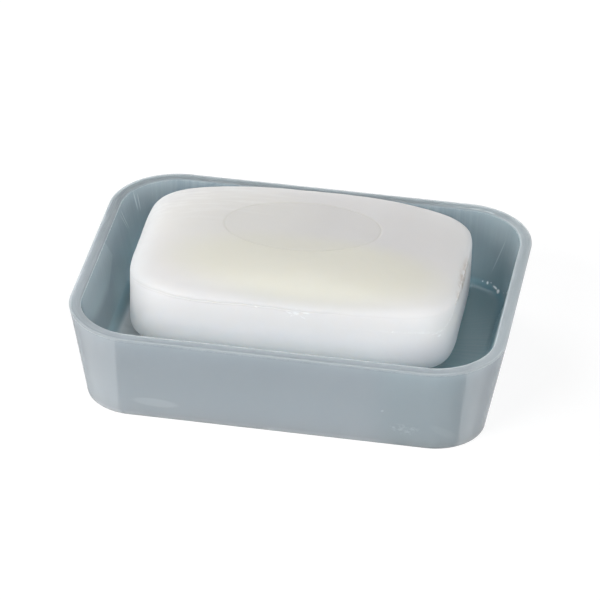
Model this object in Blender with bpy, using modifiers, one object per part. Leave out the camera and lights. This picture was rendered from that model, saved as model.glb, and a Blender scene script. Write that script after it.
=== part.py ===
"""Open soap dish with a bar of soap lying in it. Metres, +Z up.

The dish is one moulding: four walls that lean outwards, round upright corners,
a flat rim, and a floor held off the ground by a low foot that runs all the way
round. The bar is a separate piece that rests on the floor, close to one long
wall, and lifts straight out.

The origin is on the ground under the middle of the dish. +X runs along the
length, and +Y points to the wall that the bar lies close to.
"""

import math

import bmesh
import bpy

# Driving dimensions of the dish
DISH_LENGTH = 0.1200
DISH_WIDTH = 0.0895
DISH_HEIGHT = 0.0272
WALL_LEAN = 0.0050
RIM_CORNER_RADIUS = 0.0198
BASE_CORNER_RADIUS = 0.0141
WALL_THICKNESS = 0.0032
FLOOR_THICKNESS = 0.0030
FLOOR_FILLET = 0.0030
FOOT_HEIGHT = 0.0021
FOOT_WIDTH = 0.0040
RECESS_FILLET = 0.0008
EDGE_ROUNDING = 0.0005

# Driving dimensions of the bar: the seam's height above its underside, and the crown's above the seam
SEAM_HEIGHT = 0.0199
CROWN_HEIGHT = 0.0095
SIDE_LEAN = 0.00035
LOWER_EDGE_RADIUS = 0.0069

# Room between the bar and the dish's walls, and under the bar
LEFT_ROOM = 0.0059
RIGHT_ROOM = 0.0102
FRONT_ROOM = 0.0216
BACK_ROOM = 0.0007
SEAT_GAP = 0.0003

# The bar's turn about the upright axis
BAR_TURN = math.radians(0.6)

# Powers of the bar's superellipses: 2 makes an ellipse, and more makes it squarer
SEAM_PLAN_POWER = 5.4
CROWN_PLAN_POWER = 2.0
LOWER_PLAN_POWER = 6.7
CROWN_SPREAD_POWER = 5.6
CROWN_RISE_POWER = 1.8

# How fast the crown's plan turns from the seam's into an ellipse
PLAN_FADE_POWER = 10.0

# Most of the bar's half width that the lower edge's rounding may take
WIDEST_EDGE_SHARE = 0.4

# Looks: linear colour, roughness and share of light that passes under the surface
DISH_COLOUR = (0.36, 0.43, 0.47)
DISH_ROUGHNESS = 0.12
DISH_SUBSURFACE = 0.0
BAR_COLOUR = (0.86, 0.85, 0.76)
BAR_ROUGHNESS = 0.45
BAR_SUBSURFACE = 0.3

# Fineness
CORNER_STEPS = 14
FILLET_STEPS = 4
EDGE_STEPS = 3
BAR_STEPS = 72
CROWN_STEPS = 16
SIDE_STEPS = 3
LOWER_EDGE_STEPS = 6
BEVEL_ANGLE = math.radians(50)
SMOOTH_ANGLE = math.radians(35)

# How far a cutter runs past the face that it cuts
OVERRUN = 0.0020

# Heights and places worked out from the sizes above
FLOOR_TOP = FOOT_HEIGHT + FLOOR_THICKNESS
BAR_UNDERSIDE = FLOOR_TOP + SEAT_GAP
TIGHT_HEIGHT = BAR_UNDERSIDE + LOWER_EDGE_RADIUS


def new_collection(name):
    """Returns a new collection under the scene's own one."""
    collection = bpy.data.collections.new(name)
    bpy.context.scene.collection.children.link(collection)
    return collection


def new_material(name, colour, roughness, subsurface):
    """Returns a Principled material with the given linear colour."""
    material = bpy.data.materials.new(name)
    material.use_nodes = True
    material.diffuse_color = (*colour, 1.0)
    shader = material.node_tree.nodes["Principled BSDF"]
    shader.inputs["Base Color"].default_value = (*colour, 1.0)
    shader.inputs["Roughness"].default_value = roughness
    shader.inputs["Metallic"].default_value = 0.0
    shader.inputs["Subsurface Weight"].default_value = subsurface
    return material


def wall_offset(height):
    """How far the wall's outer face lies outside its foot at a height."""
    return WALL_LEAN * height / DISH_HEIGHT


def outline(height, inset):
    """Rounded rectangle of the dish's outer face at a height, moved inwards by inset.

    The corners grow from the base's radius to the rim's, so that two of these
    loops are unlike sections of one loft.
    """
    from_rim = WALL_LEAN - wall_offset(height) + inset
    half_length = DISH_LENGTH / 2 - from_rim
    half_width = DISH_WIDTH / 2 - from_rim
    growth = (RIM_CORNER_RADIUS - BASE_CORNER_RADIUS) / DISH_HEIGHT
    radius = BASE_CORNER_RADIUS + growth * height - inset
    points = []
    for quarter in range(4):
        across = 1 if quarter in (0, 3) else -1
        along = 1 if quarter in (0, 1) else -1
        for step in range(CORNER_STEPS + 1):
            angle = math.pi / 2 * (quarter + step / CORNER_STEPS)
            points.append((
                across * (half_length - radius) + radius * math.cos(angle),
                along * (half_width - radius) + radius * math.sin(angle),
                height,
            ))
    return points


def loft(name, loops, collection):
    """Makes a closed solid through level loops of equal count, lowest loop first."""
    shape = bmesh.new()
    rings = [[shape.verts.new(point) for point in loop] for loop in loops]
    count = len(rings[0])
    for lower, upper in zip(rings, rings[1:]):
        for index in range(count):
            following = (index + 1) % count
            shape.faces.new((lower[index], lower[following], upper[following], upper[index]))
    shape.faces.new(list(reversed(rings[0])))
    shape.faces.new(rings[-1])
    bmesh.ops.recalc_face_normals(shape, faces=shape.faces)
    mesh = bpy.data.meshes.new(name)
    shape.to_mesh(mesh)
    shape.free()
    solid = bpy.data.objects.new(name, mesh)
    collection.objects.link(solid)
    return solid


def round_edges(solid, width, steps):
    """Rounds each edge that is sharper than the bevel angle."""
    bevel = solid.modifiers.new("Rounded edges", "BEVEL")
    bevel.width = width
    bevel.segments = steps
    bevel.limit_method = "ANGLE"
    bevel.angle_limit = BEVEL_ANGLE


def cut(solid, cutter):
    """Takes the cutter's shape out of a solid, and hides the cutter."""
    difference = solid.modifiers.new("Cut by " + cutter.name, "BOOLEAN")
    difference.operation = "DIFFERENCE"
    difference.solver = "EXACT"
    difference.object = cutter
    cutter.hide_render = True
    cutter.display_type = "WIRE"


def shade_smooth(solid):
    """Shades round faces smooth, and keeps the real corners sharp."""
    solid.data.shade_smooth()
    solid.data.set_sharp_from_angle(angle=SMOOTH_ANGLE)


def make_dish(parts, cutters):
    """The moulded dish: a leaning block, hollowed from above and from below."""
    dish = loft("dish", [outline(0, 0), outline(DISH_HEIGHT, 0)], parts)

    # The hollow's upper end lies past the rim, beyond its own rounded edge
    hollow_top = DISH_HEIGHT + FLOOR_FILLET + OVERRUN
    hollow = loft(
        "hollow_cutter",
        [outline(FLOOR_TOP, WALL_THICKNESS), outline(hollow_top, WALL_THICKNESS)],
        cutters,
    )
    round_edges(hollow, FLOOR_FILLET, FILLET_STEPS)

    # The recess under the floor leaves the foot standing round it
    recess_mouth = outline(0, FOOT_WIDTH)
    below = -RECESS_FILLET - OVERRUN
    recess = loft(
        "recess_cutter",
        [[(x, y, below) for x, y, z in recess_mouth], [(x, y, FOOT_HEIGHT) for x, y, z in recess_mouth]],
        cutters,
    )
    round_edges(recess, RECESS_FILLET, EDGE_STEPS)

    cut(dish, hollow)
    cut(dish, recess)
    round_edges(dish, EDGE_ROUNDING, EDGE_STEPS)
    shade_smooth(dish)
    plastic = new_material("blue_grey_plastic", DISH_COLOUR, DISH_ROUGHNESS, DISH_SUBSURFACE)
    dish.data.materials.append(plastic)
    return dish


def bar_loop(half_length, half_width, power, height):
    """Level superellipse: the squarer the higher the power, round at 2."""
    points = []
    for step in range(BAR_STEPS):
        angle = 2 * math.pi * step / BAR_STEPS
        across = math.cos(angle)
        along = math.sin(angle)
        reach = (abs(across) ** power + abs(along) ** power) ** (-1 / power)
        points.append((half_length * across * reach, half_width * along * reach, height))
    return points


def bar_loops(half_length, half_width):
    """Loops of the bar from its underside, over the seam, to the top of the crown."""
    edge = min(LOWER_EDGE_RADIUS, WIDEST_EDGE_SHARE * min(half_length, half_width))
    loops = []

    # Lower edge: a quarter circle up from the flat underside
    for step in range(LOWER_EDGE_STEPS + 1):
        angle = math.pi / 2 * step / LOWER_EDGE_STEPS
        inset = SIDE_LEAN + edge * (1 - math.sin(angle))
        height = edge * (1 - math.cos(angle))
        loops.append(bar_loop(half_length - inset, half_width - inset, LOWER_PLAN_POWER, height))

    # Side: nearly upright, as far as the seam where the press's two halves met
    for step in range(1, SIDE_STEPS):
        share = step / SIDE_STEPS
        power = LOWER_PLAN_POWER + (SEAM_PLAN_POWER - LOWER_PLAN_POWER) * share
        inset = SIDE_LEAN * (1 - share)
        height = edge + (SEAM_HEIGHT - edge) * share
        loops.append(bar_loop(half_length - inset, half_width - inset, power, height))

    # Crown: spread ^ a + rise ^ b = 1 from the seam to the top, while the plan turns round
    for step in range(CROWN_STEPS):
        spread = math.cos(math.pi / 2 * step / CROWN_STEPS)
        rise = (1 - spread ** CROWN_SPREAD_POWER) ** (1 / CROWN_RISE_POWER)
        fade = spread ** PLAN_FADE_POWER
        power = CROWN_PLAN_POWER + (SEAM_PLAN_POWER - CROWN_PLAN_POWER) * fade
        height = SEAM_HEIGHT + CROWN_HEIGHT * rise
        loops.append(bar_loop(half_length * spread, half_width * spread, power, height))
    return loops


def make_bar(parts):
    """The bar of soap, sized and placed by the room that it has between the walls."""
    reach = WALL_THICKNESS + WALL_LEAN - wall_offset(TIGHT_HEIGHT)
    left = -DISH_LENGTH / 2 + reach + LEFT_ROOM
    right = DISH_LENGTH / 2 - reach - RIGHT_ROOM
    front = -DISH_WIDTH / 2 + reach + FRONT_ROOM
    back = DISH_WIDTH / 2 - reach - BACK_ROOM
    bar = loft("soap_bar", bar_loops((right - left) / 2, (back - front) / 2), parts)
    bar.location = ((left + right) / 2, (front + back) / 2, BAR_UNDERSIDE)
    bar.rotation_euler = (0, 0, BAR_TURN)
    shade_smooth(bar)
    bar.data.materials.append(new_material("ivory_soap", BAR_COLOUR, BAR_ROUGHNESS, BAR_SUBSURFACE))
    return bar


for leftover in list(bpy.data.objects):
    bpy.data.objects.remove(leftover, do_unlink=True)

parts_collection = new_collection("soap_dish")
cutters_collection = new_collection("cutters")
make_dish(parts_collection, cutters_collection)
make_bar(parts_collection)
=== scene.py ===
"""Looks of an open soap dish with a bar of soap lying in it, in metres.

The dish and the bar are fine surfaces worked out as rings of points: each ring is a level
outline, and the rings follow one section from the middle of the underside to the middle of
the top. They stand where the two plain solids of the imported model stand, and replace them.
"""

import math

import bpy
import numpy as np
from mathutils import Matrix, Vector


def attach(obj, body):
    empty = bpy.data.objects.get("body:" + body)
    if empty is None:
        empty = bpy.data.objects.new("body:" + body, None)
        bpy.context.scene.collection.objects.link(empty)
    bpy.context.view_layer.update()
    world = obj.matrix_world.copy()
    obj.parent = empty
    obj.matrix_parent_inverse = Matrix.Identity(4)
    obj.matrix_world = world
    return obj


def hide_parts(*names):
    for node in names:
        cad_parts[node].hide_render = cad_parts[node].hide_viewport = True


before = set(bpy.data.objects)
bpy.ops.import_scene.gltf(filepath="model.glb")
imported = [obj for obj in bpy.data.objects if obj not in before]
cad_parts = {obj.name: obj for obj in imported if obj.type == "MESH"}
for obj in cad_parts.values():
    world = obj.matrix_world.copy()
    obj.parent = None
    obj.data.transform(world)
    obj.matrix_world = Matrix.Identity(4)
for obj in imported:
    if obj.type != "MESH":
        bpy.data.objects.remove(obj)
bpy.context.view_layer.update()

# The dish, as it was moulded
DISH_LENGTH = 0.1200
DISH_WIDTH = 0.0895
DISH_HEIGHT = 0.0272
WALL_LEAN = 0.0050
RIM_CORNER_RADIUS = 0.0198
BASE_CORNER_RADIUS = 0.0141
WALL_THICKNESS = 0.0032
FLOOR_TOP = 0.0051
FLOOR_FILLET = 0.0030
FOOT_HEIGHT = 0.0021
FOOT_WIDTH = 0.0040
RECESS_FILLET = 0.0008
FOOT_ROUNDING = 0.0005
RIM_ROUNDING = 0.00030

# The bar, in its own frame: along its length, across it, and up from its underside
BAR_CENTRE = (-0.00215, 0.01045, 0.0054)
BAR_TURN = math.radians(0.6)
BAR_HALF_LENGTH = 0.04601
BAR_HALF_WIDTH = 0.02766
SEAM_HEIGHT = 0.0199
CROWN_HEIGHT = 0.0095
SIDE_LEAN = 0.00035
LOWER_EDGE_RADIUS = 0.0069
SEAM_PLAN_POWER = 5.4
CROWN_PLAN_POWER = 2.0
LOWER_PLAN_POWER = 6.7
CROWN_SPREAD_POWER = 5.6
CROWN_RISE_POWER = 1.8
PLAN_FADE_POWER = 10.0

# A fine line runs round the rim, a little inside its outer edge
RIM_LINE_INSET = 0.00086
RIM_LINE_WIDTH = 0.00016
RIM_LINE_DEPTH = 0.00005

# How far the dish's walls wander from flat, and over what length
WALL_WANDER = 0.00003
WANDER_LENGTH = 0.045

# Marks are short strokes: two ends, and a width. Crumbs of dried soap in the dish's back right corner,
# painted white as glints
CRUMBS_AND_GLINTS = (
    ((0.0466, 0.0359, 0.0070), (0.0472, 0.0356, 0.0071), 0.00042),
    ((0.0487, 0.0345, 0.0070), (0.0499, 0.0331, 0.0069), 0.00030),
    ((0.0501, 0.0329, 0.0068), (0.0508, 0.0319, 0.0066), 0.00055),
    ((0.0452, 0.0366, 0.0068), (0.0455, 0.0364, 0.0070), 0.00018),
    ((0.0478, 0.0354, 0.0074), (0.0481, 0.0352, 0.0075), 0.00018),
    ((0.0516, 0.0302, 0.0078), (0.0520, 0.0295, 0.0080), 0.00028),
    ((0.0526, 0.0268, 0.0100), (0.0528, 0.0262, 0.0102), 0.00020),
    ((0.0543, 0.0208, 0.0139), (0.0542, 0.0221, 0.0134), 0.00036),
)
CRUMB_DEPTH = 0.0006
CRUMB_RISE = 0.00025

# Scuffs low on the dish's front, at the right
SCUFFS = (
    ((0.0289, -0.0420, 0.0123), (0.0293, -0.0419, 0.0118), 0.00042),
    ((0.0318, -0.0410, 0.0066), (0.0325, -0.0409, 0.0064), 0.00030),
    ((0.0333, -0.0408, 0.0059), (0.0349, -0.0407, 0.0063), 0.00022),
    ((0.0350, -0.0406, 0.0052), (0.0368, -0.0405, 0.0055), 0.00024),
    ((0.0367, -0.0406, 0.0070), (0.0379, -0.0405, 0.0062), 0.00020),
)
SCUFF_DEPTH = 0.002

# Fine scratches inside the dish: four at the back left, one at the back right, and two on the rim
SCRATCHES = (
    ((-0.0547, 0.0326, 0.0262), (-0.0534, 0.0328, 0.0206), 0.00022),
    ((-0.0539, 0.0338, 0.0252), (-0.0529, 0.0336, 0.0204), 0.00018),
    ((-0.0566, 0.0236, 0.0256), (-0.0549, 0.0272, 0.0180), 0.00020),
    ((-0.0564, 0.0224, 0.0248), (-0.0551, 0.0262, 0.0183), 0.00014),
    ((0.0512, 0.0358, 0.0206), (0.0481, 0.0362, 0.0110), 0.00018),
    ((0.0403, 0.0421, 0.0272), (0.0438, 0.0418, 0.0272), 0.00022),
    ((0.0445, 0.0416, 0.0272), (0.0477, 0.0403, 0.0272), 0.00022),
)

# The bar's seam, as angles round the bar and heights above its underside: it rises and falls
SEAM_ANGLES = (-180.0, -148.2, -143.3, -138.8, -132.9, -108.8, -81.9, -54.0, -30.2, 0.0, 90.0, 180.0)
SEAM_HEIGHTS = (
    0.0199, 0.02042, 0.02030, 0.01972, 0.01936, 0.01977, 0.01937, 0.01972, 0.02010, 0.0200, 0.0199, 0.0199,
)
SEAM_STRENGTHS = (0.50, 0.80, 0.90, 1.00, 1.00, 1.00, 0.80, 0.35, 0.15, 0.20, 0.50, 0.50)

# The edge that use has worn along the bar's front right corner and right end, in the same way
RIDGE_ANGLES = (-70.0, -42.8, -27.6, -26.7, -19.8, -10.0, 2.0, 30.0)
RIDGE_HEIGHTS = (0.0150, 0.01555, 0.01525, 0.01587, 0.02073, 0.02148, 0.02144, 0.0212)
RIDGE_STRENGTHS = (0.00, 0.30, 0.80, 0.90, 1.00, 1.00, 0.90, 0.00)

# Chips in the bar, as strokes in its own frame
CHIPS = (
    ((0.0021, -0.0275, 0.0186), (0.0037, -0.0275, 0.0183), 0.00048),
    ((0.0044, -0.0275, 0.0189), (0.0066, -0.0275, 0.0190), 0.00020),
    ((0.0038, -0.0275, 0.0180), (0.0054, -0.0275, 0.0171), 0.00024),
    ((0.0002, -0.0275, 0.0188), (0.0019, -0.0275, 0.0181), 0.00022),
    ((0.0013, -0.0275, 0.0174), (0.0024, -0.0275, 0.0178), 0.00020),
    ((0.0027, -0.0275, 0.0200), (0.0032, -0.0275, 0.0199), 0.00022),
    ((-0.0086, -0.0275, 0.0194), (-0.0078, -0.0275, 0.0191), 0.00024),
    ((0.0292, -0.0272, 0.0156), (0.0297, -0.0272, 0.0155), 0.00030),
    ((0.0402, -0.0252, 0.0145), (0.0430, -0.0225, 0.0152), 0.00035),
    ((0.0415, -0.0243, 0.0136), (0.0424, -0.0234, 0.0138), 0.00035),
    ((0.0432, -0.0222, 0.0158), (0.0450, -0.0178, 0.0182), 0.00032),
)
CHIP_DEPTH = 0.00022
CHIP_REACH = 0.0006

# How wear shapes the bar: depths and heights of its parts, and the sizes that they follow
HOLLOW_DEPTH = 0.00010
HOLLOW_SIZE = 0.030
DENT_DEPTH = 0.00003
DENT_SIZE = 0.006
GRIT_SIZE = 0.0011
SEAM_DEPTH = 0.00010
SEAM_WIDTH = 0.00016
SEAM_RIDGE_HEIGHT = 0.00006
CREST_HEIGHT = 0.00018
CREST_WIDTH = 0.00030
END_FACE_DEPTH = 0.00020
MOST_RISE = 0.00015

# The pressed oval on the bar's crown
OVAL_CENTRE = (-0.0001, 0.0004)
OVAL_HALF_LENGTH = 0.0218
OVAL_HALF_WIDTH = 0.0126
OVAL_TURN = math.radians(3.2)
OVAL_GROOVE_DEPTH = 0.00012
OVAL_GROOVE_WIDTH = 0.00032
OVAL_FIELD_DEPTH = 0.00006

# The stage: greys of the floor to light and to the camera, its glow, the tent's white and the fill
FLOOR_GREY = 0.58
SEEN_FLOOR_GREY = 0.30
SEEN_FLOOR_GLOW = 0.76
TENT_WHITE = 1.25
FILL_STRENGTH = 0.236

# The camera, in degrees, millimetres of lens and metres
CAMERA_AZIMUTH = 9.419
CAMERA_ELEVATION = 32.327
CAMERA_ROLL = 1.209
CAMERA_LENS = 253.6
CAMERA_DISTANCE = 1.16297
CAMERA_TO_RIGHT = -0.00096
CAMERA_TO_TOP = -0.00820

# The lamps: azimuth and elevation in degrees, width and height in metres, and watts
LAMP_DISTANCE = 1.6
LAMPS = {
    "left_window": (-39, 31, 1.0, 0.8, 15.6),
    "right_window": (29, 33, 1.0, 0.8, 12.5),
    "back_left_window": (-130, 13, 1.3, 0.7, 18.2),
    "back_wall": (-170, 12, 1.0, 0.7, 3.7),
    "back_right_wall": (140, 17, 1.0, 0.8, 8.3),
}


def smooth_step(low, high, value):
    """0 below low, 1 above high, and 3 t^2 - 2 t^3 between them."""
    t = np.clip((value - low) / (high - low), 0, 1)
    return t * t * (3 - 2 * t)


def waves(points, scale, seed, octaves=3):
    """Soft unevenness, from -1 to 1: sines along random directions, finer and weaker by octaves."""
    rng = np.random.default_rng(seed)
    total = np.zeros(points.shape[:-1])
    share = 0.0
    for octave in range(octaves):
        for _ in range(6):
            heading = rng.normal(size=3)
            heading *= 2 ** octave / (scale * np.linalg.norm(heading))
            total += np.sin(points @ heading * 2 * np.pi + rng.uniform(0, 2 * np.pi)) / 2 ** octave
        share += 6 / 2 ** octave
    return total * 2 / share


def hump(distance, width):
    """Bell curve: 1 at no distance, and e^-1 at the given width."""
    return np.exp(-(distance / width) ** 2)


def near_strokes(points, strokes):
    """Nearness to the closest of some strokes: the bell curve of the distance to its line."""
    nearest = np.zeros(points.shape[:-1])
    for first, last, width in strokes:
        first, way = np.array(first), np.array(last) - np.array(first)
        share = np.clip((points - first) @ way / (way @ way), 0, 1)
        away = np.linalg.norm(points - first - share[..., None] * way, axis=-1)
        nearest = np.maximum(nearest, hump(away, width))
    return nearest


def on_bar(points):
    """Moves places from the bar's frame to the dish's: turned by its turn, then shifted to its centre."""
    x, y, z = np.moveaxis(np.asarray(points, float), -1, 0)
    cos, sin = math.cos(BAR_TURN), math.sin(BAR_TURN)
    return np.stack([x * cos - y * sin, x * sin + y * cos, z], axis=-1) + BAR_CENTRE


def outward(rings):
    """Outward unit normals of a surface of rings: across its two families of lines."""
    along = np.gradient(rings, axis=0)
    round_it = np.roll(rings, -1, axis=1) - np.roll(rings, 1, axis=1)
    normal = np.cross(round_it, along)
    return normal / np.maximum(np.linalg.norm(normal, axis=-1, keepdims=True), 1e-12)


def surface_from_rings(name, rings, low_pole, high_pole, marks):
    """Closed mesh through rings of equal count, lowest first, with one point at either end.

    rings is an array of rings by points by 3, each ring running the same way round as the
    angle from +X to +Y. Quads join ring to ring, and triangles close the two ends. Each mark
    is a number or a vector for every point, kept on the mesh for the materials to read.
    """
    count, around = rings.shape[:2]
    points = np.vstack([rings.reshape(-1, 3), low_pole, high_pole])
    index = np.arange(count * around).reshape(count, around)
    following = np.roll(index, -1, axis=1)
    quads = np.stack([index[:-1], following[:-1], following[1:], index[1:]], axis=-1).reshape(-1, 4)
    low, high = count * around, count * around + 1
    fan_low = np.stack([following[0], index[0], np.full(around, low)], axis=-1)
    fan_high = np.stack([index[-1], following[-1], np.full(around, high)], axis=-1)
    corners = np.concatenate([quads.ravel(), fan_low.ravel(), fan_high.ravel()]).astype(np.int32)
    sizes = np.concatenate([np.full(len(quads), 4), np.full(2 * around, 3)]).astype(np.int32)
    starts = np.concatenate([[0], np.cumsum(sizes)[:-1]]).astype(np.int32)
    mesh = bpy.data.meshes.new(name)
    mesh.vertices.add(len(points))
    mesh.vertices.foreach_set("co", points.astype(np.float32).ravel())
    mesh.loops.add(len(corners))
    mesh.loops.foreach_set("vertex_index", corners)
    mesh.polygons.add(len(sizes))
    mesh.polygons.foreach_set("loop_start", starts)
    mesh.update(calc_edges=True)
    mesh.validate()
    mesh.shade_smooth()
    for mark, values in marks.items():
        flat = np.reshape(values, (count * around, -1))
        whole = np.vstack([flat, flat[:around].mean(axis=0), flat[-around:].mean(axis=0)])
        kind, field = ("FLOAT", "value") if whole.shape[1] == 1 else ("FLOAT_VECTOR", "vector")
        mesh.attributes.new(mark, kind, "POINT").data.foreach_set(field, whole.astype(np.float32).ravel())
    piece = bpy.data.objects.new(name, mesh)
    bpy.context.scene.collection.objects.link(piece)
    return piece


def dish_outline(height, inset, straight=40, corner=96):
    """Level rounded rectangle: four straights and four quarter circles, inset from the leaning wall.

    The half sizes grow with the height by the wall's lean, and the corner's radius grows from
    the base's to the rim's. Points are spread evenly on each straight and each quarter circle.
    """
    from_rim = WALL_LEAN * (1 - height / DISH_HEIGHT) + inset
    half_length = DISH_LENGTH / 2 - from_rim
    half_width = DISH_WIDTH / 2 - from_rim
    growth = (RIM_CORNER_RADIUS - BASE_CORNER_RADIUS) / DISH_HEIGHT
    radius = BASE_CORNER_RADIUS + growth * height - inset
    quarter = np.linspace(0, np.pi / 2, corner)
    ends = []
    for turn, across, along in ((0, 1, 1), (1, -1, 1), (2, -1, -1), (3, 1, -1)):
        angle = quarter + turn * np.pi / 2
        centre = np.array([across * (half_length - radius), along * (half_width - radius)])
        ends.append(centre + radius * np.stack([np.cos(angle), np.sin(angle)], axis=-1))
    share = (np.arange(1, straight + 1) / (straight + 1))[:, None]
    parts = []
    for bend, after in zip(ends, ends[1:] + ends[:1]):
        parts.append(bend)
        parts.append(bend[-1] + (after[0] - bend[-1]) * share)
    flat = np.vstack(parts)
    return np.column_stack([flat, np.full(len(flat), height)])


def arc(centre, radius, first, last, steps):
    """Points of a circle's arc in the section, as inset and height, from one angle to another."""
    angle = np.radians(np.linspace(first, last, steps))
    return np.stack([centre[0] + radius * np.cos(angle), centre[1] + radius * np.sin(angle)], axis=-1)


def make_dish():
    """The moulded dish: one section of wall, carried round the rounded rectangle.

    The section is given as the distance inwards and the height. It runs from the recess under
    the floor, round the foot, up the leaning outer face, over the flat rim with its two small
    roundings, down the inner face and through the fillet on to the floor. The wall's lean is
    added by the outline at each height, so both faces of the wall are straight lines. Where
    two lines of the section meet, the rounding's centre keeps its radius from both of them.

    The marks on the mesh say where the rim is matt and worn, where its fine line runs, and
    what lies inside. way_round holds the cosine and sine of the way round the dish, and the
    share of the way across the rim, so that streaks can follow both.
    """
    lean = math.atan2(WALL_LEAN, DISH_HEIGHT)
    lean_degrees = math.degrees(lean)
    slope = WALL_LEAN / DISH_HEIGHT
    outer_lean = np.array([-math.cos(lean), -math.sin(lean)])
    inner_lean = -outer_lean

    def leaned(points):
        """Turns true distances from the rim's outer edge into distances inwards from the leaning wall."""
        points = np.asarray(points, float)
        inset = points[:, 0] - slope * (DISH_HEIGHT - points[:, 1])
        return np.column_stack([inset, points[:, 1]])

    def beside_wall(face, radius, height, side):
        """Centre of a rounding: its radius away from a face of the wall, out at -1 and in at 1."""
        return face + slope * (DISH_HEIGHT - height) + side * radius / math.cos(lean), height

    top_out = beside_wall(0.0, RIM_ROUNDING, DISH_HEIGHT - RIM_ROUNDING, 1)
    top_in = beside_wall(WALL_THICKNESS, RIM_ROUNDING, DISH_HEIGHT - RIM_ROUNDING, -1)
    base_out = beside_wall(0.0, FOOT_ROUNDING, FOOT_ROUNDING, 1)
    floor_edge = beside_wall(WALL_THICKNESS, FLOOR_FILLET, FLOOR_TOP + FLOOR_FILLET, 1)
    recess_wall = WALL_LEAN + FOOT_WIDTH
    recess_bend = (recess_wall + RECESS_FILLET, FOOT_HEIGHT - RECESS_FILLET)
    foot_bend = (recess_wall - FOOT_ROUNDING, FOOT_ROUNDING)
    across = np.linspace(top_out[0], top_in[0], 44)[1:-1]
    up_start = base_out + FOOT_ROUNDING * outer_lean
    up_end = top_out + RIM_ROUNDING * outer_lean
    down_start = top_in + RIM_ROUNDING * inner_lean
    down_end = floor_edge - FLOOR_FILLET * inner_lean

    # The last number of each arc or straight is its count of points
    outside = [
        leaned([(recess_bend[0] + 0.0005, FOOT_HEIGHT)]),
        leaned(arc(recess_bend, RECESS_FILLET, 90, 180, 6)),
        leaned(arc(foot_bend, FOOT_ROUNDING, 0, -90, 6)),
        leaned(arc(base_out, FOOT_ROUNDING, 270, 180 + lean_degrees, 8)),
        leaned(np.linspace(up_start, up_end, 34)[1:-1]),
    ]
    rim = [
        leaned(arc(top_out, RIM_ROUNDING, 180 + lean_degrees, 90, 12)),
        leaned(np.column_stack([across, np.full(len(across), DISH_HEIGHT)])),
        leaned(arc(top_in, RIM_ROUNDING, 90, lean_degrees, 10)),
    ]
    inside = [
        leaned(np.linspace(down_start, down_end, 28)[1:-1]),
        leaned(arc(floor_edge, FLOOR_FILLET, 180 + lean_degrees, 270, 18)),
    ]
    section = np.vstack(outside + rim + inside)
    rings = np.stack([dish_outline(height, inset) for inset, height in section])

    # Shrinking copies of the last rings close the floor, above and below
    closing = np.array([0.93, 0.8, 0.6, 0.35, 0.12])[:, None, None]
    under = rings[0] * np.array([1, 1, 0]) * closing[::-1] + [0, 0, FOOT_HEIGHT]
    floor = rings[-1] * np.array([1, 1, 0]) * closing + [0, 0, FLOOR_TOP]
    rings = np.concatenate([under, rings, floor])
    rim_start = len(under) + sum(map(len, outside))
    rim_end = rim_start + sum(map(len, rim))

    # Moulded walls are never quite flat: between foot and rim they wander inwards a little
    wander = WALL_WANDER * (1 + waves(rings, WANDER_LENGTH, 3, octaves=2))
    wander *= smooth_step(0.0006, 0.004, rings[..., 2])
    wander *= smooth_step(DISH_HEIGHT - 0.0004, DISH_HEIGHT - 0.003, rings[..., 2])
    rings[..., :2] *= 1 - (wander / np.linalg.norm(rings[..., :2], axis=-1))[..., None]

    # A fine line is pressed into the rim along the front, and fades out towards both sides
    line = np.zeros(rings.shape[:2])
    line[rim_start:rim_end] = hump(np.vstack(rim)[:, 0] - RIM_LINE_INSET, RIM_LINE_WIDTH)[:, None]
    line *= smooth_step(-0.024, -0.036, rings[..., 1]) * smooth_step(0.058, 0.040, rings[..., 0])
    rings[..., 2] -= RIM_LINE_DEPTH * line

    # Crumbs of soap stand on the fillet of the floor, in the back right corner
    rings = rings + outward(rings) * (CRUMB_RISE * near_strokes(rings, CRUMBS_AND_GLINTS))[..., None]

    # The marks: the way round the dish by length, and what belongs to the rim and to the inside
    steps = np.linalg.norm(np.diff(rings[rim_start], axis=0, append=rings[rim_start][:1]), axis=-1)
    way = 2 * np.pi * np.concatenate([[0], np.cumsum(steps)[:-1]]) / steps.sum()
    matt, worn, share_across, within = np.zeros((4, len(rings)))
    matt[rim_start:rim_end] = 1.0
    share_across[rim_start:rim_end] = np.linspace(0, 1, rim_end - rim_start)
    inner_start = rim_end - len(rim[-1])
    worn[rim_start:rim_end] = 1.0
    worn[inner_start:rim_end] = np.linspace(1, 0, len(rim[-1]))
    within[inner_start:] = 1.0
    within -= worn * within
    all_round = np.ones(rings.shape[1])
    follows = np.broadcast_arrays(np.cos(way), np.sin(way), share_across[:, None])
    marks = {
        "matt": matt[:, None] * all_round,
        "rim": worn[:, None] * all_round,
        "rim_line": line,
        "inside": within[:, None] * all_round,
        "way_round": np.stack(follows, axis=-1),
    }
    return surface_from_rings("moulded_dish", rings, (0, 0, FOOT_HEIGHT), (0, 0, FLOOR_TOP), marks)


def superellipse(angle, power):
    """Reach of a unit superellipse at an angle: (|cos|^p + |sin|^p)^(-1/p)."""
    return (np.abs(np.cos(angle)) ** power + np.abs(np.sin(angle)) ** power) ** (-1 / power)


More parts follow.
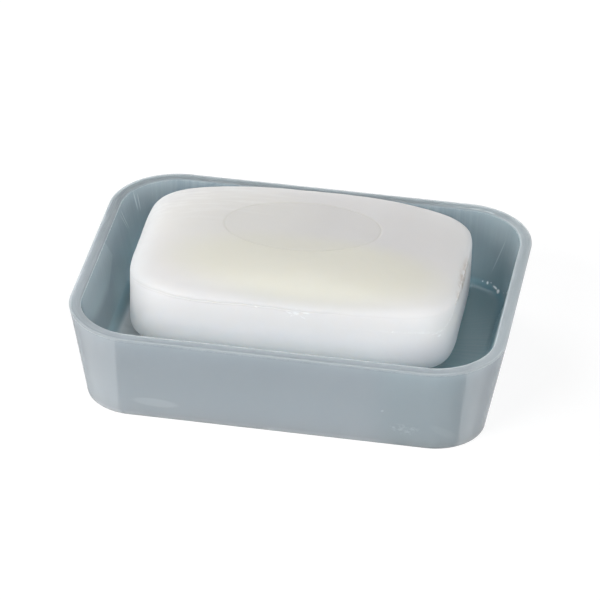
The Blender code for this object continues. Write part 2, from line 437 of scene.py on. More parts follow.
def crown_height(x, y):
    """Height of the crown above the seam, over a point of the bar's plan.

    The point lies on one level outline of the crown, a superellipse that shrinks by a share of
    the seam's while its power falls to 2. The share is found by halving, and the height is
    (1 - share^a)^(1/b) of the crown's.
    """
    low = np.full(x.shape, 1e-5)
    high = np.ones(x.shape)
    for _ in range(36):
        share = (low + high) / 2
        power = CROWN_PLAN_POWER + (SEAM_PLAN_POWER - CROWN_PLAN_POWER) * share ** PLAN_FADE_POWER
        size = np.abs(x / (BAR_HALF_LENGTH * share)) ** power + np.abs(y / (BAR_HALF_WIDTH * share)) ** power
        low = np.where(size > 1, share, low)
        high = np.where(size > 1, high, share)
    share = (low + high) / 2
    return CROWN_HEIGHT * np.maximum(1 - share ** CROWN_SPREAD_POWER, 0) ** (1 / CROWN_RISE_POWER)


def oval_distance(x, y):
    """Signed distance to the pressed oval, outwards: its implicit function over its slope."""
    cos, sin = math.cos(OVAL_TURN), math.sin(OVAL_TURN)
    u = (x - OVAL_CENTRE[0]) * cos + (y - OVAL_CENTRE[1]) * sin
    v = (y - OVAL_CENTRE[1]) * cos - (x - OVAL_CENTRE[0]) * sin
    size = np.hypot(u / OVAL_HALF_LENGTH, v / OVAL_HALF_WIDTH)
    slope = np.hypot(u / OVAL_HALF_LENGTH ** 2, v / OVAL_HALF_WIDTH ** 2) / np.maximum(size, 1e-6)
    return (size - 1) / np.maximum(slope, 1e-6)


def make_bar():
    """The used bar: a pillow of superellipse sections, with its seam, its oval and its wear.

    Rings rise from the flat underside through the rounded lower edge, up the nearly upright
    side, across the seam, and over the crown. Each is a superellipse, and they lie closest at
    the seam and at the oval, where they turn into ovals so that its groove runs along them.

    Wear then moves each point along its normal by a depth, which is a sum: soft waves, bell
    curves over the height from the seam, a rough bell curve over the height from the worn edge
    with a hollow face below it, the oval's groove and field over the distance from the oval,
    and the chips' strokes times a fine grit.
    """
    around = 480
    angle = np.linspace(0, 2 * np.pi, around, endpoint=False)

    def level(inset, power, height):
        """Level superellipse ring, inset from the bar's half sizes."""
        reach = superellipse(angle, power)
        x = (BAR_HALF_LENGTH - inset) * np.cos(angle) * reach
        y = (BAR_HALF_WIDTH - inset) * np.sin(angle) * reach
        return np.stack([x, y, np.full(around, height)], axis=-1)

    edge = LOWER_EDGE_RADIUS
    lower = []
    for turn in np.linspace(0, np.pi / 2, 22):
        inset = SIDE_LEAN + edge * (1 - math.sin(turn))
        lower.append(level(inset, LOWER_PLAN_POWER, edge * (1 - math.cos(turn))))
    under = [lower[0] * np.array([shrink, shrink, 1]) for shrink in (0.15, 0.4, 0.65, 0.85, 0.95)]

    # Up the side, with rings crowding towards the seam
    stretches = ((0, 0.546, 13), (0.546, 0.915, 21), (0.915, 1, 14))
    side = []
    for share in np.concatenate([np.linspace(*stretch)[1:] for stretch in stretches]):
        power = LOWER_PLAN_POWER + (SEAM_PLAN_POWER - LOWER_PLAN_POWER) * share
        side.append(level(SIDE_LEAN * (1 - share), power, edge + (SEAM_HEIGHT - edge) * share))

    # Over the crown: the spread falls slowly near the seam and near the oval
    rim_share = OVAL_HALF_LENGTH / BAR_HALF_LENGTH
    spread = np.concatenate([
        1 - np.linspace(0, 1, 34)[1:] ** 2.4 * 0.14,
        np.linspace(0.86, rim_share + 0.045, 30)[1:],
        np.linspace(rim_share + 0.045, rim_share - 0.045, 34)[1:],
        np.linspace(rim_share - 0.045, 0.03, 22)[1:],
    ])
    crown = []
    for s in spread:
        power = CROWN_PLAN_POWER + (SEAM_PLAN_POWER - CROWN_PLAN_POWER) * s ** PLAN_FADE_POWER
        near = 1 - smooth_step(rim_share + 0.08, 0.9, np.array(s))
        reach = superellipse(angle, power)
        width = BAR_HALF_WIDTH * (1 + near * (OVAL_HALF_WIDTH / (BAR_HALF_WIDTH * rim_share) - 1))
        u = BAR_HALF_LENGTH * s * np.cos(angle) * reach
        v = width * s * np.sin(angle) * reach
        tilt = OVAL_TURN * near
        x = u * math.cos(tilt) - v * math.sin(tilt) + OVAL_CENTRE[0] * near
        y = u * math.sin(tilt) + v * math.cos(tilt) + OVAL_CENTRE[1] * near
        crown.append(np.stack([x, y, SEAM_HEIGHT + crown_height(x, y)], axis=-1))
    rings = np.stack(under + lower + side + crown)

    x, y, z = rings[..., 0], rings[..., 1], rings[..., 2]
    bearing = np.degrees(np.arctan2(y, x))

    # Hands and water leave soft hollows
    sink = HOLLOW_DEPTH + HOLLOW_DEPTH * waves(rings, HOLLOW_SIZE, 11)
    sink += DENT_DEPTH * waves(rings, DENT_SIZE, 12, octaves=2)
    grit = waves(rings, GRIT_SIZE, 14, octaves=2)

    # Seam: a fine groove between two soft ridges, and a second, fainter one under it on the left
    theta = np.radians(bearing)
    ripple = 0.00006 * np.sin(21 * theta) + 0.00004 * np.sin(47 * theta)
    off_seam = z - np.interp(bearing, SEAM_ANGLES, SEAM_HEIGHTS) - ripple
    strength = np.interp(bearing, SEAM_ANGLES, SEAM_STRENGTHS)
    left_part = smooth_step(-80, -95, bearing) * smooth_step(-165, -150, bearing)
    seam = strength * hump(off_seam, SEAM_WIDTH) + 0.6 * left_part * hump(off_seam + 0.00062, 0.00014)
    ridges = hump(off_seam - 0.0005, 0.0003) + 0.7 * hump(off_seam + 0.00035, 0.0002)
    sink += SEAM_DEPTH * seam
    sink -= SEAM_RIDGE_HEIGHT * strength * ridges

    # Worn edge at the right: a crumbled crest, and a hollow face below it at the end
    off_ridge = z - np.interp(bearing, RIDGE_ANGLES, RIDGE_HEIGHTS)
    strength = np.interp(bearing, RIDGE_ANGLES, RIDGE_STRENGTHS)
    crest = strength * hump(off_ridge, CREST_WIDTH) * (0.7 + 0.6 * grit)
    end_face = strength * smooth_step(-30, -20, bearing) * smooth_step(0.0001, -0.0009, off_ridge)
    sink -= CREST_HEIGHT * crest
    sink += END_FACE_DEPTH * end_face * smooth_step(-0.0090, -0.0030, off_ridge)

    # Pressed oval: a narrow groove, and a field that lies a little lower inside it
    top = smooth_step(SEAM_HEIGHT + 0.004, SEAM_HEIGHT + 0.006, z)
    from_oval = oval_distance(x, y)
    groove = top * hump(from_oval, OVAL_GROOVE_WIDTH)
    field = top * smooth_step(0.0004, -0.0004, from_oval)
    sink += OVAL_GROOVE_DEPTH * groove + OVAL_FIELD_DEPTH * field

    # Chips: rough strokes, part pit and part raised crumb
    sink += CHIP_DEPTH * near_strokes(rings, CHIPS) * (0.1 + 1.5 * grit)

    # The underside stays flat on what it rests on, and nothing rises further than the most rise
    sink = np.maximum(sink, -MOST_RISE) * smooth_step(0.0, 0.002, z)
    rings = on_bar(rings - outward(rings) * sink[..., None])
    marks = {
        "seam": seam,
        "crest": np.clip(crest, 0, 1),
        "end_face": end_face,
        "oval_line": groove,
        "oval_field": field,
    }
    return surface_from_rings("soap_pillow", rings, BAR_CENTRE, rings[-1].mean(axis=0), marks)


def node(tree, kind, values=(), **settings):
    """Adds a node, sets its properties, and links or sets its inputs by name or number."""
    made = tree.nodes.new(kind)
    for name, value in settings.items():
        setattr(made, name, value)
    for name, value in dict(values).items():
        if hasattr(value, "is_linked"):
            tree.links.new(value, made.inputs[name])
        else:
            made.inputs[name].default_value = value
    return made


def math_node(tree, operation, first, second=None, clamp=False):
    """Math node from links or numbers; returns its output."""
    values = {0: first} if second is None else {0: first, 1: second}
    return node(tree, "ShaderNodeMath", values, operation=operation, use_clamp=clamp).outputs[0]


def band(tree, value, low, high, start=0.0, end=1.0):
    """Map Range node, smooth, from low..high to start..end; returns its output."""
    values = {"Value": value, "From Min": low, "From Max": high, "To Min": start, "To Max": end}
    return node(tree, "ShaderNodeMapRange", values, interpolation_type="SMOOTHSTEP").outputs["Result"]


def mix_colour(tree, share, first, second):
    """Mix node for colours, from links, numbers or colours; returns its output."""
    return node(tree, "ShaderNodeMix", {0: share, 6: first, 7: second}, data_type="RGBA").outputs[2]


def noise(tree, vector, scale, detail=2.0, roughness=0.5):
    """Noise texture over a vector, as a number round a half; returns its output."""
    values = {"Vector": vector, "Scale": scale, "Detail": detail, "Roughness": roughness}
    return node(tree, "ShaderNodeTexNoise", values).outputs["Fac"]


def product(tree, masks):
    """Product of several masks or numbers at each place."""
    result = masks[0]
    for mask in masks[1:]:
        result = math_node(tree, "MULTIPLY", result, mask)
    return result


def strongest(tree, masks):
    """Strongest of several masks at each place."""
    result = masks[0]
    for mask in masks[1:]:
        result = math_node(tree, "MAXIMUM", result, mask)
    return result


def tinted(tree, colour, masks, red, green, blue):
    """Mixes one colour into another by the product of some masks or numbers; returns the output."""
    return mix_colour(tree, product(tree, masks), colour, (red, green, blue, 1))


def parts_of(tree, vector):
    """The three parts of a vector, as outputs."""
    return tuple(node(tree, "ShaderNodeSeparateXYZ", {0: vector}).outputs)


def painted(tree, mark):
    """Reads a mark that was kept on the mesh; returns its number."""
    return node(tree, "ShaderNodeAttribute", attribute_name=mark).outputs["Fac"]


def spot(tree, position, centre, size, soft=0.5, turn=(0.0, 0.0, 0.0)):
    """Soft mask of an ellipsoid: 1 inside, fading round a distance of 1, counted in its half sizes."""
    values = {"Vector": position, "Location": centre, "Rotation": turn, "Scale": size}
    moved = node(tree, "ShaderNodeMapping", values, vector_type="TEXTURE")
    reach = node(tree, "ShaderNodeVectorMath", {0: moved.outputs["Vector"]}, operation="LENGTH")
    return band(tree, reach.outputs["Value"], 1.0 - soft, 1.0 + soft, 1.0, 0.0)


def scratch(tree, position, first, last, width, depth=None):
    """Soft mask of a thin line between two points, as deep as it is wide unless a depth is given."""
    first, last = Vector(first), Vector(last)
    turn = (last - first).to_track_quat("X", "Z").to_euler()
    size = ((last - first).length / 2, depth or width, width)
    return spot(tree, position, (first + last) / 2, size, 0.4, turn)


def side_of(tree, position, facing, low, high, start=0.0, end=1.0):
    """Soft mask of one side of a plane: places whose reach along the facing passes from low to high."""
    reach = node(tree, "ShaderNodeVectorMath", {0: position, 1: facing}, operation="DOT_PRODUCT")
    return band(tree, reach.outputs["Value"], low, high, start, end)


def add_relief(tree, shader, height, strength, distance):
    """Gives a shader the fine relief of a height, through a Bump node of its own."""
    bump = node(tree, "ShaderNodeBump", {"Height": height, "Strength": strength, "Distance": distance})
    tree.links.new(bump.outputs["Normal"], shader.inputs["Normal"])


def new_group(name, inputs, outputs):
    """Empty shader node group; returns it, with the sockets that give to and take from its inside."""
    tree = bpy.data.node_groups.new(name, "ShaderNodeTree")
    for socket, kind, value in inputs:
        made = tree.interface.new_socket(socket, in_out="INPUT", socket_type=kind)
        if value is not None:
            made.default_value = value
    for socket in outputs:
        tree.interface.new_socket(socket, in_out="OUTPUT", socket_type="NodeSocketFloat")
    return tree, tree.nodes.new("NodeGroupInput").outputs, tree.nodes.new("NodeGroupOutput").inputs


def make_drift_group():
    """Slow drift: a soft noise, as a mask from 0 to 1, and a finer noise, as a grain for height."""
    tree, given, result = new_group(
        "slow_drift",
        [
            ("Vector", "NodeSocketVector", None),
            ("Patches per metre", "NodeSocketFloat", 40.0),
            ("Grains per metre", "NodeSocketFloat", 900.0),
        ],
        ["Patches", "Grain"],
    )
    patches = noise(tree, given["Vector"], given["Patches per metre"], 3.0, 0.55)
    grain = noise(tree, given["Vector"], given["Grains per metre"], 4.0, 0.6)
    tree.links.new(band(tree, patches, 0.3, 0.7), result["Patches"])
    tree.links.new(grain, result["Grain"])
    return tree


def make_speck_group():
    """Specks: a disc at each point of a Voronoi pattern, kept where the cell's random number is low."""
    tree, given, result = new_group(
        "specks",
        [
            ("Vector", "NodeSocketVector", None),
            ("Per metre", "NodeSocketFloat", 300.0),
            ("Size", "NodeSocketFloat", 0.12),
            ("Amount", "NodeSocketFloat", 0.5),
        ],
        ["Mask"],
    )
    values = {"Vector": given["Vector"], "Scale": given["Per metre"]}
    cells = node(tree, "ShaderNodeTexVoronoi", values, feature="F1").outputs
    near = math_node(tree, "LESS_THAN", cells["Distance"], given["Size"])
    random_number = node(tree, "ShaderNodeSeparateColor", {"Color": cells["Color"]}).outputs[0]
    kept = math_node(tree, "LESS_THAN", random_number, given["Amount"])
    tree.links.new(math_node(tree, "MULTIPLY", near, kept), result["Mask"])
    return tree


def make_streak_group():
    """Fine streaks: a noise that is long one way and narrow the other two, as a mask."""
    tree, given, result = new_group(
        "fine_streaks",
        [
            ("Vector", "NodeSocketVector", None),
            ("Stretch", "NodeSocketVector", (30.0, 900.0, 900.0)),
        ],
        ["Mask"],
    )
    values = {0: given["Vector"], 1: given["Stretch"]}
    stretched = node(tree, "ShaderNodeVectorMath", values, operation="MULTIPLY").outputs["Vector"]
    lines = noise(tree, stretched, 1.0, 3.0, 0.6)
    tree.links.new(band(tree, lines, 0.42, 0.68), result["Mask"])
    return tree


def add_group(tree, group, vector, values):
    """Places a node group, with its vector and its own values; returns its outputs."""
    return node(tree, "ShaderNodeGroup", {"Vector": vector, **values}, node_tree=group).outputs


def new_material(name):
    """Node material with one Principled shader; returns material, tree, shader and object coordinates."""
    material = bpy.data.materials.new(name)
    material.use_nodes = True
    tree = material.node_tree
    shader = tree.nodes["Principled BSDF"]
    where = tree.nodes.new("ShaderNodeTexCoord").outputs["Object"]
    return material, tree, shader, where


def make_plastic(drift, specks, streaks):
    """Gloss blue-grey moulded plastic: worn along the rim, deeper inside, with dried soap and scratches, and
    with light and shade painted into its colour in places.

    The colour is built up from the outside inwards: outer faces, inner faces, rim, and then
    the marks that lie on all of them. x, y and z are the place on the dish.
    """
    material, tree, shader, where = new_material("blue_grey_plastic")
    slow = add_group(tree, drift, where, {"Patches per metre": 30.0, "Grains per metre": 1400.0})
    dust = add_group(tree, specks, where, {"Per metre": 260.0, "Size": 0.055, "Amount": 0.10})
    x, y, z = parts_of(tree, where)
    inside = painted(tree, "inside")

    # Outside: paler towards the foot and darker below the rim, as painted light and shade, and painted shade
    # darker before the front right corner
    outer = mix_colour(tree, slow["Patches"], (0.376, 0.414, 0.442, 1), (0.392, 0.430, 0.458, 1))
    lit_foot = mix_colour(tree, 0.5, outer, (0.43, 0.475, 0.51, 1))
    shaded_below_rim = mix_colour(tree, 0.5, outer, (0.32, 0.35, 0.375, 1))
    outer = mix_colour(tree, band(tree, z, 0.000, 0.026), lit_foot, shaded_below_rim)
    # Painted light: the foot's rounding is paler, where the floor's shade falls on it
    outer = mix_colour(tree, band(tree, z, 0.0002, 0.0018, 0.6, 0.0), outer, (0.66, 0.72, 0.76, 1))
    # Painted shade: the front is darker before its right corner
    shaded_front_right = [
        band(tree, x, 0.022, 0.034),
        band(tree, x, 0.048, 0.056, 1.0, 0.0),
        band(tree, y, -0.035, -0.030, 1.0, 0.0),
        0.75,
    ]
    outer = tinted(tree, outer, shaded_front_right, 0.340, 0.392, 0.418)

    # Inside: bare plastic, with painted light making it paler low down and at the back right, and a pale
    # film on the right wall that is partly painted light
    low = band(tree, z, 0.0060, 0.0240, 1.0, 0.0)
    bare = mix_colour(tree, low, (0.252, 0.302, 0.328, 1), (0.31, 0.375, 0.402, 1))
    lit_back_right = mix_colour(tree, low, (0.30, 0.355, 0.378, 1), (0.36, 0.43, 0.455, 1))
    bare = mix_colour(tree, band(tree, x, 0.0380, 0.0480), bare, lit_back_right)
    on_right = product(tree, [band(tree, x, 0.0505, 0.0530), band(tree, y, 0.004, 0.038, 1.0, 0.0)])
    right_film_and_light = mix_colour(tree, low, (0.46, 0.53, 0.55, 1), (0.68, 0.75, 0.77, 1))
    bare = mix_colour(tree, on_right, bare, right_film_and_light)

    # On the left wall and the front inside lies a film of painted reflection and light: on the left wall it
    # ends in a clear edge that rises towards the back, and it is paler towards the back beside the bar
    faint_film_and_light = mix_colour(tree, band(tree, y, -0.008, 0.010), (0.30, 0.355, 0.375, 1), (0.50, 0.57, 0.595, 1))
    faint_film_and_light = mix_colour(tree, low, (0.322, 0.368, 0.390, 1), faint_film_and_light)
    thick_film_and_reflection = mix_colour(tree, low, (0.375, 0.430, 0.455, 1), (0.52, 0.59, 0.615, 1))
    painted_reflection_edge = product(tree, [
        side_of(tree, where, (0.0, -0.594, 1.0), 0.0148, 0.0160),
        band(tree, z, 0.0135, 0.0180),
        side_of(tree, where, (0.0, 1.0, 0.647), 0.0208, 0.0217, 1.0, 0.0),
        side_of(tree, where, (0.0, 0.53, 1.0), 0.0035, 0.0085),
    ])
    front = band(tree, y, -0.0370, -0.0330, 1.0, 0.0)
    film_and_painted_reflection = mix_colour(tree, strongest(tree, [painted_reflection_edge, front]), faint_film_and_light, thick_film_and_reflection)
    left = band(tree, x, -0.0500, -0.0420, 1.0, 0.0)
    inner = mix_colour(tree, strongest(tree, [left, front]), bare, film_and_painted_reflection)

    # The floor, paler at the left end as painted light, with a near-white patch beside the bar's left end
    # that is dried soap and painted light, and faint lines down the walls
    ground = mix_colour(tree, left, (0.325, 0.46, 0.50, 1), (0.41, 0.51, 0.54, 1))
    inner = mix_colour(tree, band(tree, z, 0.0058, 0.0080, 1.0, 0.0), inner, ground)
    dried_soap_and_light = [
        band(tree, z, 0.0053, 0.0060, 1.0, 0.0),
        band(tree, x, -0.0514, -0.0498),
        spot(tree, where, (-0.0475, -0.0040, 0.0051), (0.0085, 0.0260, 0.0040), 0.6),
        band(tree, noise(tree, where, 160.0, 2.0), 0.30, 0.60, 0.7, 1.0),
    ]
    inner = tinted(tree, inner, dried_soap_and_light, 0.80, 0.88, 0.92)
    way = node(tree, "ShaderNodeAttribute", attribute_name="way_round").outputs["Vector"]
    drawn = add_group(tree, streaks, way, {"Stretch": (55.0, 55.0, 0.0)})["Mask"]
    inner = tinted(tree, inner, [drawn, slow["Patches"], 0.16], 0.56, 0.63, 0.66)
    colour = mix_colour(tree, inside, outer, inner)

    # The rim: worn paler and streaked along its length, with painted shade darker towards the back, painted
    # light paler at the right and the back right, and painted shade darker at its two rounded edges
    across = parts_of(tree, way)[2]
    along_rim = add_group(tree, streaks, way, {"Stretch": (9.0, 9.0, 26.0)})["Mask"]
    rim = mix_colour(tree, band(tree, y, -0.020, 0.035), (0.322, 0.352, 0.374, 1), (0.205, 0.232, 0.246, 1))
    rim = tinted(tree, rim, [along_rim, 0.35], 0.49, 0.515, 0.53)
    on_the_right = [band(tree, x, 0.0500, 0.0550, 0.0, 0.55)]
    at_the_back = [band(tree, x, 0.0250, 0.0480, 0.0, 0.45), band(tree, y, 0.0200, 0.0350)]
    for painted_light_part in (on_the_right, at_the_back):
        rim = tinted(tree, rim, painted_light_part, 0.42, 0.46, 0.48)
    # Painted shade: the outer rounded edge is darker
    rim = tinted(tree, rim, [band(tree, across, 0.08, 0.17, 0.30, 0.0)], 0.16, 0.19, 0.205)
    colour = mix_colour(tree, painted(tree, "rim"), colour, rim)
    # Painted shade: the inner rounded edge is darker
    shaded_inner_edge = [
        band(tree, across, 0.80, 0.92),
        band(tree, y, -0.034, -0.024),
        band(tree, x, 0.0450, 0.0520, 0.4, 0.0),
        band(tree, x, -0.0540, -0.0440, 1.3, 1.0),
    ]
    colour = tinted(tree, colour, shaded_inner_edge, 0.15, 0.18, 0.195)
    # The rim's fine line is darker, as dirt and painted shade
    line_dirt_and_shade = [painted(tree, "rim_line"), band(tree, y, 0.0, 0.030, 0.55, 0.10)]
    colour = tinted(tree, colour, line_dirt_and_shade, 0.17, 0.21, 0.235)

    # Dust, two flat drops and some scuffs on the front, scratches in the back corners, and crumbs of soap
    # painted white as glints
    colour = tinted(tree, colour, [dust["Mask"], 0.25], 0.47, 0.51, 0.54)
    left_drop = spot(tree, where, (-0.0332, -0.0408, 0.0056), (0.0060, 0.004, 0.0014), 0.22, (0, 0.04, 0))
    right_drop = spot(tree, where, (0.0458, -0.0400, 0.0060), (0.0042, 0.003, 0.0012), 0.4, (0, 0.62, 0))
    drops = strongest(tree, [left_drop, product(tree, [right_drop, 0.3])])
    colour = tinted(tree, colour, [drops, 0.50], 0.51, 0.56, 0.58)
    smudge = spot(tree, where, (0.0352, -0.0408, 0.0062), (0.0036, 0.004, 0.0017), 0.5)
    broken = band(tree, noise(tree, where, 1100.0, 2.0), 0.45, 0.65, 0.0, 0.8)
    scuffs = strongest(tree, [scratch(tree, where, *stroke, SCUFF_DEPTH) for stroke in SCUFFS])
    scuffs = strongest(tree, [scuffs, product(tree, [smudge, broken])])
    colour = tinted(tree, colour, [scuffs, 0.42], 0.58, 0.63, 0.65)
    scratches = strongest(tree, [scratch(tree, where, *stroke) for stroke in SCRATCHES])
    colour = tinted(tree, colour, [scratches, 0.55], 0.64, 0.69, 0.71)
    # Painted highlight: the crumbs are white as glints
    crumbs = strongest(tree, [scratch(tree, where, *stroke, CRUMB_DEPTH) for stroke in CRUMBS_AND_GLINTS])
    colour = tinted(tree, colour, [crumbs], 0.98, 0.99, 0.99)
    tree.links.new(colour, shader.inputs["Base Color"])

    # Gloss outside and in, less of it under the film on the right wall, and a matt rim
    rough = band(tree, slow["Grain"], 0.3, 0.75, 0.09, 0.15)
    film = product(tree, [on_right, inside])
    matt = painted(tree, "matt")
    for mark, least, most in ((inside, 0.09, 0.14), (film, 0.52, 0.62), (matt, 0.32, 0.46)):
        worn = band(tree, slow["Grain"], 0.3, 0.75, least, most)
        rough = node(tree, "ShaderNodeMix", {0: mark, 2: rough, 3: worn}).outputs[0]
    tree.links.new(rough, shader.inputs["Roughness"])
    shader.inputs["IOR"].default_value = 1.7
    shader.inputs["Subsurface Weight"].default_value = 1.0
    shader.inputs["Subsurface Radius"].default_value = (0.9, 0.97, 1.0)
    shader.inputs["Subsurface Scale"].default_value = 0.009
    streaked = product(tree, [along_rim, painted(tree, "rim"), 0.8])
    relief = math_node(tree, "ADD", noise(tree, where, 420.0, 2.0), streaked)
    add_relief(tree, shader, relief, 0.02, 0.0002)
    return material


def make_soap(drift, specks, streaks):
    """Used ivory soap: waxy and a little clouded, greyer on the crown where hands have rubbed it and as
    painted shade, and paler low on its side as painted light.

    x and z are the place along the bar and up from the ground. The marks on the mesh give the
    seam, the worn edge and the oval. A yellower band lies on the crown.
    """
    material, tree, shader, where = new_material("ivory_soap")
    slow = add_group(tree, drift, where, {"Patches per metre": 45.0, "Grains per metre": 2200.0})
    crumbs = add_group(tree, specks, where, {"Per metre": 420.0, "Size": 0.16, "Amount": 0.12})
    x, _, z = parts_of(tree, where)

    # The side is pale and the crown greyer, partly from wear and partly as painted light and shade: painted
    # light makes the side paler low down, most of all on the left and less at the right end; the crown is
    # paler towards the right end, and the left shoulder darker
    side = mix_colour(tree, slow["Patches"], (0.850, 0.835, 0.834, 1), (0.866, 0.851, 0.850, 1))
    crown = mix_colour(tree, slow["Patches"], (0.665, 0.655, 0.650, 1), (0.690, 0.680, 0.675, 1))
    crown = tinted(tree, crown, [band(tree, x, 0.020, 0.038)], 0.715, 0.705, 0.698)
    colour = mix_colour(tree, band(tree, z, 0.0250, 0.0290), side, crown)
    left_end, front = (0.960, 0.950, 0.962, 1), (0.915, 0.908, 0.935, 1)
    lit_low_side = mix_colour(tree, band(tree, x, -0.044, -0.034), left_end, front)
    lit_low_side = tinted(tree, lit_low_side, [band(tree, x, 0.022, 0.040)], 0.77, 0.76, 0.79)
    colour = mix_colour(tree, band(tree, z, 0.0130, 0.0210, 1.0, 0.0), colour, lit_low_side)
    shoulder = spot(tree, where, (-0.0470, 0.010, 0.0275), (0.0075, 0.034, 0.0065), 0.5)
    colour = tinted(tree, colour, [shoulder, 0.60], 0.68, 0.69, 0.70)

    # A yellow band lies along the crown, nearer to the front, and fades towards the left
    cream = spot(tree, where, (-0.022, 0.012, 0.0330), (0.022, 0.018, 0.0080), 0.4)
    yellow = spot(tree, where, (0.002, -0.0060, 0.0315), (0.037, 0.0125, 0.0075), 0.28)
    colour = tinted(tree, colour, [cream, 0.6], 0.735, 0.725, 0.69)
    colour = tinted(tree, colour, [yellow], 0.705, 0.695, 0.625)

    # Dry streaks along the back left of the crown, and the pressed oval a shade greyer inside its line
    dry = add_group(tree, streaks, where, {"Stretch": (60.0, 700.0, 700.0)})["Mask"]
    rubbed = spot(tree, where, (-0.030, 0.026, 0.0310), (0.024, 0.016, 0.0070), 0.4)
    colour = tinted(tree, colour, [dry, rubbed, 0.45], 0.80, 0.80, 0.785)
    colour = tinted(tree, colour, [painted(tree, "oval_field"), 0.25], 0.645, 0.635, 0.605)
    # Painted shade: the oval's groove line is darker
    colour = tinted(tree, colour, [painted(tree, "oval_line"), 0.30], 0.60, 0.59, 0.53)

    # The seam is darker along its groove, and the worn end face is greyer, with a brown smear and a stain
    colour = tinted(tree, colour, [painted(tree, "seam"), 0.24], 0.52, 0.50, 0.47)
    colour = tinted(tree, colour, [painted(tree, "end_face"), 0.15], 0.62, 0.66, 0.68)
    smear = spot(tree, where, (0.0436, 0.0062, 0.0258), (0.0022, 0.0095, 0.0024), 0.5)
    smeared = band(tree, noise(tree, where, 420.0, 3.0), 0.34, 0.60, 0.0, 0.75)
    colour = tinted(tree, colour, [smear, smeared], 0.46, 0.37, 0.30)
    stain = scratch(tree, where, (0.0434, -0.0020, 0.0267), (0.0432, -0.0066, 0.0255), 0.00035, 0.0008)
    colour = tinted(tree, colour, [stain, 0.5], 0.62, 0.50, 0.36)

    # Fresh soap shows white in the chips and along the crest of the worn edge
    chips = [
        scratch(tree, where, on_bar(first), on_bar(last), width, CHIP_REACH)
        for first, last, width in CHIPS
    ]
    broken = band(tree, noise(tree, where, 1500.0, 3.0), 0.38, 0.54, 0.15, 1.0)
    fresh = strongest(tree, chips + [painted(tree, "crest")])
    colour = tinted(tree, colour, [fresh, broken, 0.9], 0.985, 0.985, 0.985)
    tree.links.new(colour, shader.inputs["Base Color"])

    tree.links.new(band(tree, slow["Patches"], 0.0, 1.0, 0.38, 0.52), shader.inputs["Roughness"])
    shader.inputs["Subsurface Weight"].default_value = 1.0
    shader.inputs["Subsurface Radius"].default_value = (1.0, 0.95, 0.9)
    shader.inputs["Subsurface Scale"].default_value = 0.016
    grain = product(tree, [slow["Grain"], 0.5])
    relief = math_node(tree, "ADD", grain, product(tree, [crumbs["Mask"], 0.15]))
    add_relief(tree, shader, relief, 0.12, 0.0003)
    return material


def mix_shader(tree, share, first, second):
    """Mix Shader node between the shaders of two nodes."""
    return node(tree, "ShaderNodeMixShader", {0: share, 1: first.outputs[0], 2: second.outputs[0]})


def straight_rays(tree):
    """1 for light that goes straight to the camera, through clear pieces too, and 0 for the rest."""
    rays = node(tree, "ShaderNodeLightPath").outputs
    return math_node(tree, "ADD", rays["Is Camera Ray"], rays["Is Transmission Ray"], clamp=True)


def make_floor():
    """Pale floor that keeps the dish's soft shadow: near white to the camera, mid grey to other light.

    Gloss doesn't see it at all, and sees the tent of the world instead.
    """
    half = 3.0
    mesh = bpy.data.meshes.new("pale_floor")
    corners = [(-half, -half, 0), (half, -half, 0), (half, half, 0), (-half, half, 0)]
    mesh.from_pydata(corners, [], [(0, 1, 2, 3)])
    floor = bpy.data.objects.new("pale_floor", mesh)
    bpy.context.scene.collection.objects.link(floor)
    material = bpy.data.materials.new("pale_table")
    material.use_nodes = True
    tree = material.node_tree
    tree.nodes.clear()
    plain = node(tree, "ShaderNodeBsdfDiffuse", {"Color": (*[FLOOR_GREY] * 3, 1)})
    shaded = node(tree, "ShaderNodeBsdfDiffuse", {"Color": (*[SEEN_FLOOR_GREY] * 3, 1)})
    glow = node(tree, "ShaderNodeEmission", {"Color": (1, 1, 1, 1), "Strength": SEEN_FLOOR_GLOW})
    white = node(tree, "ShaderNodeAddShader", {0: shaded.outputs[0], 1: glow.outputs[0]})
    seen = mix_shader(tree, straight_rays(tree), plain, white)
    node(tree, "ShaderNodeOutputMaterial", {"Surface": seen.outputs[0]})
    mesh.materials.append(material)
    floor.visible_glossy = False


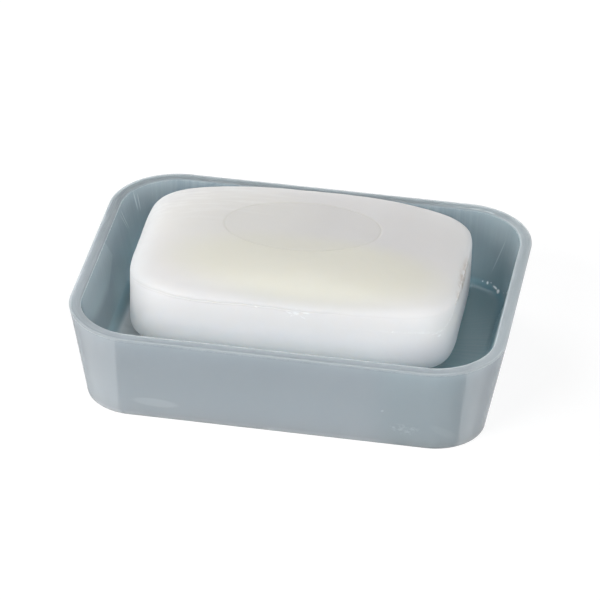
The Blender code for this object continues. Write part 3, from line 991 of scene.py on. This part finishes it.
def make_world():
    """White to the camera, a soft tent with grey gaps to gloss, and an even fill to the rest.

    turn is the bearing of a direction from the front, growing to the right, and height is its
    sine of elevation. Each gap is a product of bands over the two.
    """
    world = bpy.data.worlds.new("soft_tent")
    bpy.context.scene.world = world
    world.use_nodes = True
    tree = world.node_tree
    tree.nodes.clear()
    x, y, height = parts_of(tree, node(tree, "ShaderNodeTexCoord").outputs["Generated"])
    turn = math_node(tree, "ARCTAN2", x, math_node(tree, "MULTIPLY", y, -1.0))
    either_side = math_node(tree, "ABSOLUTE", turn)
    below = band(tree, height, -0.25, 0.05, 1.0, 0.0)
    in_front = [
        band(tree, turn, math.radians(-43.0), math.radians(-39.0)),
        band(tree, turn, math.radians(71.0), math.radians(75.0), 1.0, 0.0),
        below,
    ]
    tent = tinted(tree, (*[TENT_WHITE] * 3, 1), in_front, 0.20, 0.21, 0.22)
    behind = [
        band(tree, either_side, math.radians(150.0), math.radians(160.0)),
        band(tree, height, 0.15, 0.3),
        band(tree, height, 0.75, 0.9, 1.0, 0.0),
    ]
    tent = tinted(tree, tent, behind, 0.28, 0.29, 0.30)
    to_the_back = [band(tree, either_side, math.radians(100.0), math.radians(130.0)), below]
    tent = tinted(tree, tent, to_the_back, 0.62, 0.63, 0.64)

    white = node(tree, "ShaderNodeBackground", {"Color": (1, 1, 1, 1), "Strength": 1.0})
    gloss = node(tree, "ShaderNodeBackground", {"Color": tent, "Strength": 1.0})
    fill = node(tree, "ShaderNodeBackground", {"Color": (0.97, 0.98, 1.0, 1), "Strength": FILL_STRENGTH})
    lit = mix_shader(tree, node(tree, "ShaderNodeLightPath").outputs["Is Glossy Ray"], fill, gloss)
    seen = mix_shader(tree, straight_rays(tree), lit, white)
    node(tree, "ShaderNodeOutputWorld", {"Surface": seen.outputs[0]})


def direction(azimuth, elevation):
    """Unit vector to a place round the dish, in degrees: azimuth 0 is the front, growing to the right."""
    a, e = math.radians(azimuth), math.radians(elevation)
    return Vector((math.sin(a) * math.cos(e), -math.cos(a) * math.cos(e), math.sin(e)))


def make_lamp(name, azimuth, elevation, width, height, watts):
    """Soft box that looks at the dish from a direction."""
    data = bpy.data.lights.new(name, "AREA")
    data.shape = "RECTANGLE"
    data.size = width
    data.size_y = height
    data.energy = watts
    lamp = bpy.data.objects.new(name, data)
    bpy.context.scene.collection.objects.link(lamp)
    place = direction(azimuth, elevation) * LAMP_DISTANCE
    lamp.location = place
    lamp.rotation_euler = place.to_track_quat("Z", "Y").to_euler()
    lamp.visible_glossy = False


def make_camera():
    """Camera with the azimuth, elevation, roll, distance and lens that the photograph was taken with.

    It looks at the middle of the rim, and is moved a little across its own view, to the right
    and up, by what the photograph's framing needs.
    """
    back = direction(CAMERA_AZIMUTH, CAMERA_ELEVATION)
    azimuth, roll = math.radians(CAMERA_AZIMUTH), math.radians(CAMERA_ROLL)
    right = Vector((math.cos(azimuth), math.sin(azimuth), 0))
    up = back.cross(right)
    turned = right * math.cos(roll) + up * math.sin(roll)
    upright = up * math.cos(roll) - right * math.sin(roll)
    data = bpy.data.cameras.new("camera")
    data.sensor_width = 36.0
    data.lens = CAMERA_LENS
    data.clip_start = 0.05
    data.clip_end = 20.0
    camera = bpy.data.objects.new("camera", data)
    bpy.context.scene.collection.objects.link(camera)
    matrix = Matrix((turned, upright, back)).transposed().to_4x4()
    moved = turned * CAMERA_TO_RIGHT + upright * CAMERA_TO_TOP
    matrix.translation = back * CAMERA_DISTANCE + moved + Vector((0, 0, DISH_HEIGHT))
    camera.matrix_world = matrix
    bpy.context.scene.camera = camera


drift_group = make_drift_group()
speck_group = make_speck_group()
streak_group = make_streak_group()
plastic = make_plastic(drift_group, speck_group, streak_group)
soap = make_soap(drift_group, speck_group, streak_group)

dish = make_dish()
dish.data.materials.append(plastic)
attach(dish, "dish")
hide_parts("dish")

bar = make_bar()
bar.data.materials.append(soap)
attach(bar, "soap")
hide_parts("soap_bar")

make_floor()
make_world()
for lamp_name, lamp_values in LAMPS.items():
    make_lamp(lamp_name, *lamp_values)
make_camera()
bpy.context.scene.view_settings.view_transform = "Standard"
